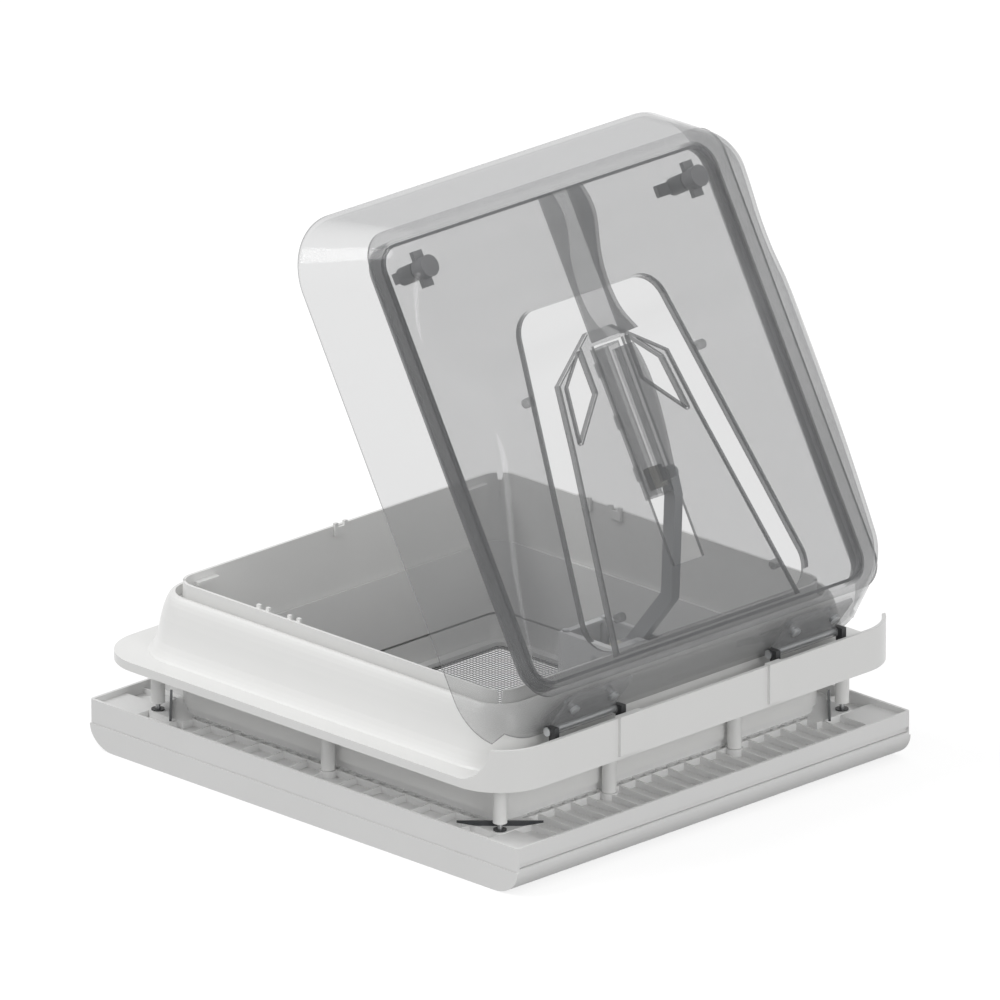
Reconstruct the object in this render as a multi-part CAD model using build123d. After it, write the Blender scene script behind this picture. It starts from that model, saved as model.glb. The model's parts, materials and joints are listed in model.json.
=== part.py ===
from build123d import *
import math
import os

# Caravan roof vent for a square hole in the roof, drawn with its lid wound open.
# Millimetres, +Z up, +X towards the hinges. The origin is the centre of the roof
# hole, in the plane where the outer flange lies on the roof.

# Roof and vent size
roof_hole = 400.0
clamp_gap = 40.3
post_air = 0.3
through = 5.0

# Outer frame
collar_half = 185.5
collar_wall = 2.5
collar_corner = 20.0
collar_top = 66.1
collar_foot = -38.0
flange_half = 232.5
flange_corner = 47.0
flange_thick = 7.5
flange_seat = 30.0
wall_foot_half = 213.5
wall_lip_half = 193.9
wall_lip_top = 57.1
wall_thick = 2.5
gutter_floor = 48.0
gutter_floor_thick = 2.5
wall_shares = [(0.0, 0.0), (0.03, 0.09), (0.08, 0.17), (0.15, 0.26), (0.25, 0.36), (0.45, 0.47),
               (0.62, 0.56), (0.76, 0.66), (0.86, 0.75), (0.93, 0.84), (0.97, 0.91), (1.0, 1.0)]
upstand_top = 35.1
upstand_thick = 3.2
upstand_start = 184.5
pleat_depth = 3.0
pleat_rise = 1.6
pleats = [(-100.0, -74.0), (69.0, 85.0)]
notch_width = 5.0
notch_depth = 22.0
post_radius = 5.8
post_bore = 2.1
post_bore_depth = 34.0
side_post = 71.0
side_post_gap = 0.3
pilot_place = 208.0
pilot_radius = 1.5
pilot_depth = 5.0

# Rim clips and latch keepers
clip_width = 14.0
clip_depth = 2.6
clip_rise = 3.0
clip_drop = 8.0
clip_mouth = 7.0
clip_floor = 4.0
clip_places = [-85.0, -50.0]
keeper_reach = 5.5
keeper_width = 24.0
keeper_low = 57.0
keeper_thick = 3.0

# Inner frame
tray_half_x = 242.6
tray_half_y = 222.9
tray_corner = 3.0
tray_wall = 2.4
tray_floor_top = -50.5
tray_floor_thick = 2.4
tray_seam_y = -60.9
tray_seam_x = -58.4
seam_groove = 0.8
seam_groove_high = 1.2
groove_top = -53.5
groove_depth = 3.0
telescope_gap = 0.6
telescope_wall = 2.0
telescope_top = 8.4
ledge_half = 201.0
ledge_side = 190.0
ledge_side_end = 158.0
ledge_corner = 6.0
ledge_top = -44.5
rib_thick = 1.8
rib_pitch_x = 18.3
rib_pitch_y = 27.7
rib_span_x = 165.0
rib_span_y = 180.0
rib_high = -44.6
rib_low = -46.0
platform_top = -45.2
platform_size = 30.0
slot_length = 8.5
slot_width = 4.6
slot_depth = 4.0
slot_pitch = 13.1
boss_wall = 1.0

# Trim cover and insect screen
cover_bottom = -81.5
cover_wall = 2.4
cover_curve = 26.6
screen_slot = 2.0
screen_gap = 0.4
screen_rail = 9.0
screen_top = -75.3
screen_bottom = -81.3
net_low = -79.0
net_thick = 0.5
net_lip = 1.5
net_gaps = 15
net_bar_share = 0.16
cup_half_x = 18.6
cup_half_y = 19.4
cup_top = -67.0
cup_wall = 1.6
cup_hole = 4.6
screen_clip = 10.0
screen_clip_thick = 1.4

# Clamp screws and corner clamps
screw_radius = 2.0
screw_hole = 2.3
screw_head = 4.2
screw_head_high = 2.6
screw_tip = -14.0
washer_radius = 5.4
washer_thick = 1.0
clamp_length = 69.0
clamp_foot = 38.0
clamp_thick = 2.0
clamp_high = 4.0
clamp_place = 186.6

# Lid, written as it lies when shut and then turned open
axis_x = 218.2
axis_z = 37.5
open_angle = 60.5
lid_centre = -1.7
lid_half_x = 225.0
lid_half_y = 226.2
lid_corner = 54.0
lid_rim = 14.6
lid_slope = 0.44
lid_side_slope = 0.40
lid_shoulder = 93.0
lid_shoulder_slope = 0.90
lid_top_corner_share = 0.2
lid_wall = 3.0
lid_draw = 112.0
lid_crown = 105.6
relief_top = 27.0
relief_half = 204.0
crown_shares = [(-0.60, 0.43), (-0.452, 0.733), (-0.396, 0.847), (-0.354, 0.878), (-0.307, 0.818),
                (-0.261, 0.755), (-0.21, 0.741), (-0.17, 0.771), (-0.134, 0.856), (-0.105, 0.922),
                (-0.063, 0.965), (-0.014, 0.97), (0.104, 0.887), (0.226, 0.78), (0.37, 0.676),
                (0.448, 0.624), (0.604, 0.496)]
pane_low = 70.0
pane_thick = 2.4
pane_gap = 0.4
skirt_half = 188.7
skirt_wall = 1.8
skirt_corner = 23.5
skirt_low = 55.0
window_narrow = -100.0
window_wide = 176.0
window_narrow_half = 77.0
window_wide_half = 128.0
window_corner = 24.0
window_lip = 1.8
window_lip_high = 4.4
window_lip_end = 164.0
seal_width = 2.4
seal_gap = 0.3

# Spine, rail and lift frame in the lid
spine_start = -184.0
spine_end = -60.0
spine_half = 17.0
spine_wall = 2.0
spine_low = 82.0
rail_start = -56.0
rail_end = 72.0
rail_half = 9.0
rail_wall = 2.0
rail_height = 12.0
rail_fin = 3.0
rail_fin_start = -50.0
rail_fin_end = 62.0
rail_tab_length = 12.0
rail_tab_reach = 8.0
rail_tab_thick = 2.0
rail_tabs = [-38.0, 6.0, 50.0]
frame_plate = 3.0
frame_lip = 2.0
frame_lip_high = 5.6
frame_outline = [(-70.0, 14.0), (-37.0, 62.0), (17.5, 71.0), (181.4, 103.0)]
frame_slot = (-58.0, 128.0, -10.2, 23.0)
diamond = [(-58.0, 27.0), (-33.0, 53.0), (12.0, 60.0), (-22.0, 27.0)]
standoff_radius = 4.0
standoff_high = 7.0
standoffs = [(-32.0, 97.0, pane_low + pane_thick), (153.0, 88.0, pane_low + pane_thick + frame_plate)]

# Hinges
hinge_place = 125.0
hinge_length = 80.0
ear_thick = 5.0
ear_gap = 0.4
knuckle_radius = 4.2
hinge_pin_radius = 2.5
pin_clear = 0.05
bracket_base = 3.0
bracket_foot = 218.0
bracket_x0 = 219.6
bracket_screw_x = 222.2
bracket_screw_length = 5.0
bracket_x1 = 226.4
leaf_thick = 3.0
leaf_top = 71.0
leaf_screw_z = 55.0
leaf_screw_y = 22.0
pin_overhang = 1.0

# Corner latches
latch_x = -159.5
latch_y = 152.0
latch_body_radius = 9.0
latch_body_high = 13.0
latch_ear = 6.0
spindle_radius = 3.5
spindle_clear = 0.1
lever_reach = 20.6
lever_half = 5.0
lever_low = 50.6
lever_thick = 4.0
lever_grip = 9.0
lever_hub = 7.5

# Crank drive and lift arm
pivot_x = 132.0
pivot_z = 40.0
arm_tip_open = (173.9, 197.8)
arm_bend_low = (175.6, 94.5)
arm_bend_high = (179.2, 180.4)
arm_y = 16.0
arm_width = 12.0
arm_thick = 9.0
arm_hub = 8.0
pivot_radius = 3.0
tip_pin_radius = 3.0
gear_module = 1.25
gear_teeth = 24
gear_tip = 16.0
gear_root = 13.6
gear_width = 6.0
tooth_tip = 0.8
tooth_base = 1.9
sector_lead = 28.0
worm_pitch_radius = 5.0
worm_tip = 6.0
worm_core = 3.6
worm_turns = 5
thread_tip = 0.8
thread_base = 1.7
thread_sink = 0.3
shaft_radius = 3.0
bush_radius = 5.0
bush_length = 8.0
housing_start = 92.0
housing_half = 26.0
housing_low = 12.0
housing_top = 53.0
housing_wall = 2.5
housing_cover = 2.5
sleeve_radius = 8.0
cover_open = (98.0, 146.0, -20.0, 22.2)
arm_slot_end = 160.0
arm_slot_gap = 1.4
ear_reach = 11.0
ear_low = 20.0
ear_high = 44.0
housing_screw_length = 6.0
cover_screw_radius = 1.5
cover_screw_head = 2.8
cover_screw_head_high = 1.8
cover_boss = 3.2

# Carriage at the arm tip
carriage_length = 18.0
carriage_high = 8.0
carriage_low_y = -6.0
carriage_high_y = 8.0
roller_radius = 4.4
roller_width = 3.0

# Crank knob with its folding peg
knob_radius = 16.0
knob_low = -80.8
knob_high = -70.0
knob_grips = 12
knob_grip_radius = 1.6
knob_groove_half = 4.4
knob_groove_top = -73.4
peg_place = 10.4
peg_z = -77.2
peg_half = 3.5
peg_tip = -13.6
peg_pin_radius = 1.25
peg_pin_half = 8.0

os.makedirs("parts", exist_ok=True)


def block(x0, x1, y0, y1, z0, z1):
    return Pos((x0 + x1) / 2, (y0 + y1) / 2, (z0 + z1) / 2) * Box(x1 - x0, y1 - y0, z1 - z0)


def slab(half_x, half_y, corner, z0, z1, centre=0.0):
    return Pos(centre, 0, z0) * extrude(RectangleRounded(2 * half_x, 2 * half_y, corner), z1 - z0)


def square(half, corner, z0, z1):
    return slab(half, half, corner, z0, z1)


def rod(x, y, z0, z1, radius):
    return Pos(x, y, (z0 + z1) / 2) * Cylinder(radius, z1 - z0)


def rod_y(x, z, y0, y1, radius):
    return Pos(x, (y0 + y1) / 2, z) * Rot(90, 0, 0) * Cylinder(radius, y1 - y0)


def rod_x(x0, x1, y, z, radius):
    return Pos((x0 + x1) / 2, y, z) * Rot(0, 90, 0) * Cylinder(radius, x1 - x0)


def prism_y(outline, y0, y1):
    return extrude(Plane.XZ.offset(-y1) * outline, y1 - y0)


def prism_x(outline, x0, x1):
    return extrude(Plane.YZ.offset(x0) * outline, x1 - x0)


def shape(points):
    return make_face(Polyline(*points, close=True))


def twin(part):
    return [part, mirror(part, Plane.XZ)]


def between(a, b):
    return min(a, b), max(a, b)


def four(part):
    pair = twin(part)
    return pair + [mirror(p, Plane.YZ) for p in pair]


def stack(sections):
    return loft([Pos(0, 0, z) * RectangleRounded(2 * half, 2 * half, corner)
                 for half, corner, z in sections], ruled=True)


def save(name, part):
    export_step(part, f"parts/{name}.step")


def group(parts):
    return Compound(children=list(parts))


def post_row():
    return roof_hole / 2 - post_air - post_radius


def corner_posts():
    return [(sx * post_row(), sy * post_row()) for sx in (-1, 1) for sy in (-1, 1)]


def side_posts():
    places = [(sx * post_row(), sy * side_post) for sx in (-1, 1) for sy in (-1, 1)]
    return places + [(0.0, -post_row()), (0.0, post_row())]


def posts():
    return corner_posts() + side_posts()


def wall_sections(inset):
    rise = wall_lip_top - flange_thick
    lean = wall_foot_half - wall_lip_half
    rows = []
    for up, inward in wall_shares:
        half = wall_foot_half - lean * inward - inset
        rows.append((half, half - collar_half + collar_corner, flange_thick + rise * up))
    return rows


def outer_frame():
    lip_inner = wall_lip_half - wall_thick
    frame = square(flange_half, flange_corner, 0, flange_thick)
    frame += stack(wall_sections(0))
    frame += square(collar_half, collar_corner, collar_foot, collar_top)
    core = square(collar_half, collar_corner, collar_foot - through, collar_top + through)
    under = gutter_floor - gutter_floor_thick
    hollow = stack(wall_sections(wall_thick)) & square(flange_half, flange_corner, flange_thick, under)
    hollow += square(flange_half - flange_seat, flange_corner - flange_seat, -through, flange_thick)
    gutter = square(lip_inner, lip_inner - collar_half + collar_corner, gutter_floor, collar_top + through)
    frame -= hollow - core
    frame -= gutter - core
    bore = collar_half - collar_wall
    frame -= square(bore, collar_corner - collar_wall, collar_foot - through, collar_top + through)
    for x, y in corner_posts():
        frame -= rod(x, y, -through, flange_thick, post_radius)
    for x, y in [(sx * pilot_place, sy * pilot_place) for sx in (-1, 1) for sy in (-1, 1)]:
        frame -= rod(x, y, -through, pilot_depth, pilot_radius)
    frame += upstand()
    for sx, sy in ((1, 1), (1, -1), (-1, 1), (-1, -1)):
        reach = collar_half - collar_corner / 2
        wedge = shape([(-notch_width / 2, 0), (0, -notch_depth), (notch_width / 2, 0),
                       (notch_width / 2, through), (-notch_width / 2, through)])
        cut = extrude(Plane.XZ * wedge, collar_corner / 2, both=True)
        turn = math.degrees(math.atan2(sy, sx)) - 90
        frame -= Pos(sx * reach, sy * reach, collar_top) * Rot(0, 0, turn) * cut
    for y in leaf_bolt_places():
        frame -= rod(bracket_screw_x, y, flange_thick - bracket_screw_length, flange_thick + through,
                     screw_radius)
    for side in (-1, 1):
        y = side * (housing_half + ear_reach / 2)
        frame -= rod_x(bore - through, collar_half + through, y, (ear_low + ear_high) / 2, post_bore)
    return frame


def screw_posts():
    under = gutter_floor - gutter_floor_thick
    inside = stack(wall_sections(wall_thick))
    feet = [(place, collar_foot) for place in corner_posts()]
    feet += [(place, ledge_top + side_post_gap) for place in side_posts()]
    made = []
    for (x, y), foot in feet:
        post = rod(x, y, foot, flange_thick, post_radius)
        post += rod(x, y, flange_thick, under, post_radius) & inside
        made.append(post - rod(x, y, ledge_top - through, collar_foot + post_bore_depth, post_bore))
    return group(made)


def upstand():
    ring = square(flange_half, flange_corner, flange_thick, upstand_top)
    ring -= square(flange_half - upstand_thick, flange_corner - upstand_thick, 0, upstand_top + through)
    rise = upstand_top - flange_thick
    sweep_edge = CenterArc((upstand_start, upstand_top), rise, -90, 90)
    far = flange_half + through
    outline = make_face(sweep_edge + Polyline((upstand_start + rise, upstand_top), (far, upstand_top),
                                              (far, flange_thick), (upstand_start, flange_thick)))
    ring &= prism_y(outline, -flange_half - through, flange_half + through)
    for y0, y1 in pleats:
        ring += block(flange_half - upstand_thick, flange_half + pleat_depth, y0, y1,
                      flange_thick / 2, upstand_top + pleat_rise)
    return ring


def rim_clip():
    face = collar_half - collar_wall
    clip = block(face - clip_depth, face, -clip_width / 2, clip_width / 2,
                 collar_top - clip_drop, collar_top + clip_rise)
    return clip - block(face - clip_depth - through, face + through, -clip_mouth / 2, clip_mouth / 2,
                        collar_top + clip_rise - clip_floor, collar_top + clip_rise + through)


def rim_clips():
    clips = [Rot(0, 0, 180) * rim_clip()]
    for place in clip_places:
        clips += twin(Pos(place, 0, 0) * Rot(0, 0, -90) * rim_clip())
    return group(clips)


def latch_keepers():
    face = collar_half - collar_wall
    half = keeper_width / 2
    ledge = block(-face, -face + keeper_reach, latch_y - half, latch_y + half,
                  keeper_low, keeper_low + keeper_thick)
    return group(twin(ledge))


def telescope_half():
    return collar_half - collar_wall - telescope_gap


def inner_frame():
    outer = telescope_half()
    inner = outer - telescope_wall
    corner = collar_corner - collar_wall - telescope_gap
    low = tray_floor_top - tray_floor_thick
    tray = slab(tray_half_x, tray_half_y, tray_corner, low, -clamp_gap)
    tray -= slab(tray_half_x - tray_wall, tray_half_y - tray_wall, tray_wall / 4, tray_floor_top, 0)
    tray += tray_ledge(low)
    tray += square(outer, corner, low, telescope_top)
    tray += tray_skirt(low)
    tray += tray_ribs()
    for cut in tray_slots():
        tray -= cut
    for x, y in side_posts():
        tray += rod(x, y, low, ledge_top, post_radius + boss_wall)
    tray -= square(inner, corner - telescope_wall, low - through, telescope_top + through)
    for x, y in posts():
        tray -= rod(x, y, low - through, ledge_top + through, screw_hole)
    return tray


def tray_ledge(low):
    ledge = square(ledge_half, ledge_corner, low, ledge_top)
    for side in (-1, 1):
        strip = between(side * ledge_side, side * (ledge_half + through))
        ledge -= block(*strip, -ledge_side_end, ledge_side_end, tray_floor_top, ledge_top + through)
        ledge -= block(-ledge_side_end, ledge_side_end, *strip, tray_floor_top, ledge_top + through)
    return ledge


def tray_skirt(low):
    inside_y = tray_half_y - tray_wall
    inside_x = tray_half_x - groove_depth - tray_wall
    skirt = slab(tray_half_x, tray_half_y, tray_corner, tray_seam_y, low)
    skirt -= block(-inside_x, inside_x, -inside_y, inside_y, tray_seam_y - through, low)
    for side in (-1, 1):
        far = side * (tray_half_x + through)
        groove = between(side * (tray_half_x - groove_depth), far)
        skirt -= block(*groove, -inside_y, inside_y, tray_seam_y - through, groove_top)
        opening = between(side * (inside_x - through), far)
        skirt -= block(*opening, -inside_y, inside_y, tray_seam_y - through, tray_seam_x)
    line_top = tray_seam_y + seam_groove_high
    line = slab(tray_half_x + through, tray_half_y + through, tray_corner, tray_seam_y, line_top)
    line -= slab(tray_half_x + through, tray_half_y - seam_groove, tray_corner, tray_seam_y - through, low)
    return skirt - line


def spread(half_span, pitch):
    count = int(half_span / pitch)
    return [pitch * n for n in range(-count, count + 1)]


def tray_ribs():
    ribs = []
    sink = ledge_side - rib_thick
    platform = ledge_half - rib_thick
    edge_x = tray_half_x - tray_wall / 2
    edge_y = tray_half_y - tray_wall / 2
    base = tray_floor_top - tray_floor_thick / 2
    slope_x = shape([(sink, base), (sink, rib_high), (edge_x, rib_low), (edge_x, base)])
    slope_y = shape([(sink, base), (sink, rib_high), (edge_y, rib_low), (edge_y, base)])
    for y in spread(rib_span_x, rib_pitch_x):
        rib = prism_y(slope_x, y - rib_thick / 2, y + rib_thick / 2)
        ribs += [rib, mirror(rib, Plane.YZ)]
    for x in spread(rib_span_y, rib_pitch_y):
        rib = prism_x(slope_y, x - rib_thick / 2, x + rib_thick / 2)
        ribs += twin(rib)
    ribs += four(block(platform, edge_x, platform - platform_size / 2, edge_y, base, platform_top))
    return sum(ribs[1:], ribs[0])


def tray_slots():
    near = telescope_half() + slot_width / 4
    cuts = []
    for place in spread(ledge_side_end, slot_pitch):
        run = (place - slot_length / 2, place + slot_length / 2)
        for side in (-1, 1):
            strip = between(side * near, side * (near + slot_width))
            cuts.append(block(*strip, *run, ledge_top - slot_depth, ledge_top + through))
            cuts.append(block(*run, *strip, ledge_top - slot_depth, ledge_top + through))
    return cuts


def pillow(inset, top):
    half = tray_half_x - inset
    curve_x = cover_curve - inset
    curve_z = tray_seam_y - cover_bottom - inset
    flat = half - curve_x
    low = cover_bottom + inset
    right = Plane.XY * EllipticalCenterArc((flat, tray_seam_y), curve_x, curve_z,
                                           start_angle=270, arc_size=90)
    left = Plane.XY * EllipticalCenterArc((-flat, tray_seam_y), curve_x, curve_z,
                                          start_angle=180, arc_size=90)
    sides = Polyline((half, tray_seam_y), (half, top), (-half, top), (-half, tray_seam_y))
    return make_face(right + left + Line((-flat, low), (flat, low)) + sides)


def trim_cover():
    top = groove_top
    cover = prism_y(pillow(0, top), -tray_half_y, tray_half_y)
    cover -= prism_y(pillow(cover_wall, top + through), -tray_half_y + cover_wall, tray_half_y - cover_wall)
    cover &= block(-tray_half_x, tray_half_x, -tray_half_y, tray_half_y, cover_bottom, tray_seam_x)
    for side in (-1, 1):
        y = sorted((side * (tray_half_y - cover_wall), side * (tray_half_y + through)))
        cover -= block(-tray_half_x - through, tray_half_x + through, *y, tray_seam_y, tray_seam_x + through)
    duct = telescope_half() - telescope_wall
    corner = collar_corner - collar_wall - telescope_gap - telescope_wall
    duct_top = tray_floor_top - tray_floor_thick - screen_slot
    cover += square(duct + cover_wall, corner + cover_wall, cover_bottom, duct_top)
    cover -= square(duct, corner, cover_bottom - through, duct_top + through)
    return cover


def screen_edge():
    return telescope_half() - telescope_wall - screen_gap


def screen_cup(grow, top, low):
    return block(shaft_x() - cup_half_x - grow, shaft_x() + cup_half_x + grow,
                 -cup_half_y - grow, cup_half_y + grow, low, top)


def screen_frame():
    edge = screen_edge()
    corner = collar_corner - collar_wall - telescope_gap - telescope_wall - screen_gap
    frame = square(edge, corner, screen_bottom, screen_top)
    frame -= square(edge - screen_rail, corner / 2, screen_bottom - through, screen_top + through)
    frame += screen_cup(cup_wall, cup_top, screen_bottom)
    frame -= screen_cup(0, cup_top - cup_wall, screen_bottom - through)
    frame -= rod(shaft_x(), 0, cup_top - through, cup_top + through, cup_hole)
    inner = edge - screen_rail
    groove = square(inner + net_lip, corner / 2, net_low, net_low + net_thick)
    frame -= groove - screen_cup(cup_wall, 0, cover_bottom)
    return frame


def fly_screen():
    half = screen_edge() - screen_rail
    pitch = 2 * half / net_gaps
    hole = pitch * (1 - net_bar_share)
    outline = Rectangle(2 * (half + net_lip), 2 * (half + net_lip))
    corner = (collar_corner - collar_wall - telescope_gap - telescope_wall - screen_gap) / 2
    outline = fillet(outline.vertices(), corner)
    outline -= Pos(shaft_x(), 0) * Rectangle(2 * (cup_half_x + cup_wall), 2 * (cup_half_y + cup_wall))
    cup_x = cup_half_x + cup_wall + pitch / 2
    cup_y = cup_half_y + cup_wall + pitch / 2
    holes = []
    for i in range(net_gaps):
        for j in range(net_gaps):
            x = -half + (i + 1 / 2) * pitch
            y = -half + (j + 1 / 2) * pitch
            if abs(x - shaft_x()) < cup_x and abs(y) < cup_y:
                continue
            holes.append(Pos(x, y) * Rectangle(hole, hole))
    for cut in holes:
        outline -= cut
    return Pos(0, 0, net_low) * extrude(outline, net_thick)


def screen_clips():
    duct = telescope_half() - telescope_wall
    clips = []
    for place in (-duct / 2, duct / 2):
        clip = block(place - screen_clip / 2, place + screen_clip / 2, duct - screen_rail / 2, duct,
                     screen_top, screen_top + screen_clip_thick)
        clips += twin(clip)
    return group(clips)


def clamp_screws():
    low = tray_floor_top - tray_floor_thick
    screws = []
    for x, y in posts():
        head = rod(x, y, low - screw_head_high, low, screw_head)
        screws.append(rod(x, y, low, screw_tip, screw_radius) + head)
    return group(screws)


def clamp_washers():
    rings = [rod(x, y, ledge_top, ledge_top + washer_thick, washer_radius)
             - rod(x, y, ledge_top - through, ledge_top + through, screw_hole) for x, y in corner_posts()]
    return group(rings)


def corner_clamps():
    outline = shape([(-clamp_foot / 2, 0), (clamp_foot / 2, 0), (clamp_length / 2, clamp_high * 2 / 3),
                     (clamp_length / 2, clamp_high), (-clamp_length / 2, clamp_high),
                     (-clamp_length / 2, clamp_high * 2 / 3)])
    web = extrude(Plane.XZ * outline, clamp_thick / 2, both=True)
    return group(four(Pos(clamp_place, clamp_place, ledge_top) * Rot(0, 0, -45) * web))


def opened(part):
    return part.rotate(Axis((axis_x, 0, axis_z), (0, 1, 0)), open_angle)


def crown(drop):
    top = [(lid_centre + 2 * lid_half_x * along, lid_rim + lid_crown * up - drop)
           for along, up in crown_shares]
    curve = Spline(*top)
    low = lid_rim - lid_draw
    edge = Polyline(top[-1], (top[-1][0], low), (top[0][0], low), top[0])
    return prism_y(make_face(curve + edge), -2 * lid_half_y, 2 * lid_half_y)


def lean(z, slope):
    rise = max(z - lid_shoulder, 0)
    return (z - rise - lid_rim) * slope + rise * lid_shoulder_slope


def lid_bulk(wall, low):
    lower = wall * math.hypot(1, lid_slope)
    upper = wall * math.hypot(1, lid_shoulder_slope)
    bend = lid_shoulder - (upper - lower) / (lid_shoulder_slope - lid_slope)
    sections = []
    for z, inset in ((low, lower), (bend, lower), (lid_rim + lid_draw, upper)):
        in_x = lean(z, lid_slope) + inset
        in_y = lean(z, lid_side_slope) + inset
        corner = max(lid_corner - in_x, lid_corner * lid_top_corner_share)
        outline = RectangleRounded(2 * (lid_half_x - in_x), 2 * (lid_half_y - in_y), corner)
        sections.append(Pos(lid_centre, 0, z) * outline)
    return loft(sections, ruled=True)


def lid_outside():
    return lid_bulk(0, lid_rim) & crown(0)


def lid_inside():
    return lid_bulk(lid_wall, lid_rim - lid_wall) & crown(lid_wall)


def wall_point(z):
    return lid_centre + lid_half_x - (z - lid_rim) * lid_slope


def wall_tilt():
    return math.degrees(math.atan(lid_slope))


def leaf_bolt(y, radius, inward, outward):
    turn = Rot(0, 90 - wall_tilt(), 0)
    bolt = Pos(0, 0, (outward - inward) / 2) * Cylinder(radius, outward + inward)
    return Pos(wall_point(leaf_screw_z), y, leaf_screw_z) * turn * bolt


def leaf_bolt_places():
    return [s * hinge_place + t * leaf_screw_y for s in (-1, 1) for t in (-1, 1)]


def dome_cover():
    dome = lid_outside() - lid_inside()
    far = lid_half_x + 2 * through
    dome -= block(axis_x - lid_corner / 2, far, -relief_half, relief_half, 0, relief_top)
    for y in leaf_bolt_places():
        dome -= leaf_bolt(y, screw_hole, lid_wall + through, through)
    return dome


def window_outline(grow):
    points = [(window_narrow, -window_narrow_half), (window_wide, -window_wide_half),
              (window_wide, window_wide_half), (window_narrow, window_narrow_half)]
    outline = fillet(shape(points).vertices(), window_corner)
    return offset(outline, grow) if grow else outline


def pane_inset(slope):
    rise = pane_low + pane_thick - lid_rim
    return rise * slope + lid_wall * math.hypot(1, slope) + pane_gap


def inner_pane():
    inset = pane_inset(lid_slope)
    half_y = lid_half_y - pane_inset(lid_side_slope)
    top = pane_low + pane_thick
    pane = slab(lid_half_x - inset, half_y, lid_corner - inset, pane_low, top, lid_centre)
    skirt = square(skirt_half, skirt_corner, skirt_low, pane_low)
    core = skirt_half - skirt_wall
    skirt -= square(core, skirt_corner - skirt_wall, skirt_low - through, pane_low + through)
    lip = Pos(0, 0, top) * extrude(window_outline(window_lip) - window_outline(0), window_lip_high)
    lip &= block(-lid_half_x, window_lip_end, -lid_half_y, lid_half_y, top, top + window_lip_high)
    pane += skirt
    pane -= Pos(0, 0, pane_low - through) * extrude(window_outline(0), pane_thick + 2 * through)
    pane += lip
    for side in (-1, 1):
        hole = spindle_radius + spindle_clear
        pane -= rod(latch_x, side * latch_y, pane_low - through, top + through, hole)
    return pane


def pane_seal():
    middle = collar_half - collar_wall / 2
    outer, inner = middle + seal_width / 2, middle - seal_width / 2
    corner = collar_corner - collar_wall / 2
    seal = square(outer, corner + seal_width / 2, collar_top + seal_gap, pane_low)
    return seal - square(inner, corner - seal_width / 2, collar_top, pane_low + through)


def spine_channel():
    top = 2 * lid_draw
    core_half = spine_half - spine_wall
    body = lid_inside() & block(spine_start, spine_end, -spine_half, spine_half, spine_low, top)
    core = block(spine_start + spine_wall, spine_end + through, -core_half, core_half,
                 spine_low - through, top)
    return body - (crown(lid_wall + spine_wall) & core)


def lid_local(x, z):
    turn = math.radians(open_angle)
    dx, dz = x - axis_x, z - axis_z
    return (axis_x + dx * math.cos(turn) - dz * math.sin(turn),
            axis_z + dx * math.sin(turn) + dz * math.cos(turn))


def lift_motion():
    """Arm length, its open and shut directions and its turn for each degree of the lid."""
    tip_x, tip_z = arm_tip_open
    dx, dz = tip_x - pivot_x, tip_z - pivot_z
    length = math.hypot(dx, dz)
    opened_at = math.degrees(math.atan2(dz, dx))
    track = lid_local(tip_x, tip_z)[1]
    rise = track - pivot_z
    shut_at = 180 - math.degrees(math.asin(rise / length))
    ratio = (shut_at - opened_at) / open_angle
    return length, opened_at, shut_at, ratio, track


def track_height():
    """Middle of the heights at which the arm tip crosses the lid as the lid turns."""
    length, opened_at, _, ratio, _ = lift_motion()
    heights = []
    steps = gear_teeth
    for n in range(steps + 1):
        shut = open_angle * n / steps
        angle = math.radians(opened_at + ratio * shut)
        x = pivot_x + length * math.cos(angle) - axis_x
        z = pivot_z + length * math.sin(angle) - axis_z
        turn = math.radians(open_angle - shut)
        heights.append(axis_z + x * math.sin(turn) + z * math.cos(turn))
    return (max(heights) + min(heights)) / 2, max(heights) - min(heights)


def lift_rail():
    middle, _ = track_height()
    low, high = middle - rail_height / 2 - rail_wall, middle + rail_height / 2 + rail_wall
    rail = block(rail_start, rail_end, -rail_half, rail_half, low, high)
    rail -= block(rail_start + rail_wall, rail_end - rail_wall, -rail_half + rail_wall, rail_half + through,
                  low + rail_wall, high - rail_wall)
    fin = block(rail_fin_start, rail_fin_end, -rail_fin / 2, rail_fin / 2, high, 2 * lid_draw)
    rail += lid_inside() & fin
    top = pane_low + pane_thick + frame_plate
    for x in rail_tabs:
        rail += block(x - rail_tab_length / 2, x + rail_tab_length / 2, -rail_half - rail_tab_reach,
                      -rail_half + rail_wall / 2, top, top + rail_tab_thick)
    return rail


def lift_frame():
    low = pane_low + pane_thick
    half = [(x, y) for x, y in frame_outline]
    outline = shape(half + [(x, -y) for x, y in reversed(half)])
    plate = extrude(outline, frame_lip_high)
    plate -= Pos(0, 0, frame_plate) * extrude(offset(outline, -frame_lip), frame_lip_high)
    for side in (-1, 1):
        hole = shape([(x, side * y) for x, y in diamond])
        wall = extrude(offset(hole, frame_lip), frame_lip_high) & extrude(outline, frame_lip_high)
        plate += wall
        plate -= Pos(0, 0, -through) * extrude(hole, frame_lip_high + 2 * through)
    x0, x1, y0, y1 = frame_slot
    plate -= block(x0, x1, y0, y1, -through, frame_lip_high + through)
    return Pos(0, 0, low) * plate


def pane_standoffs():
    pegs = []
    for x, y, z in standoffs:
        pegs += twin(rod(x, y, z, z + standoff_high, standoff_radius))
    return group(pegs)


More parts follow.
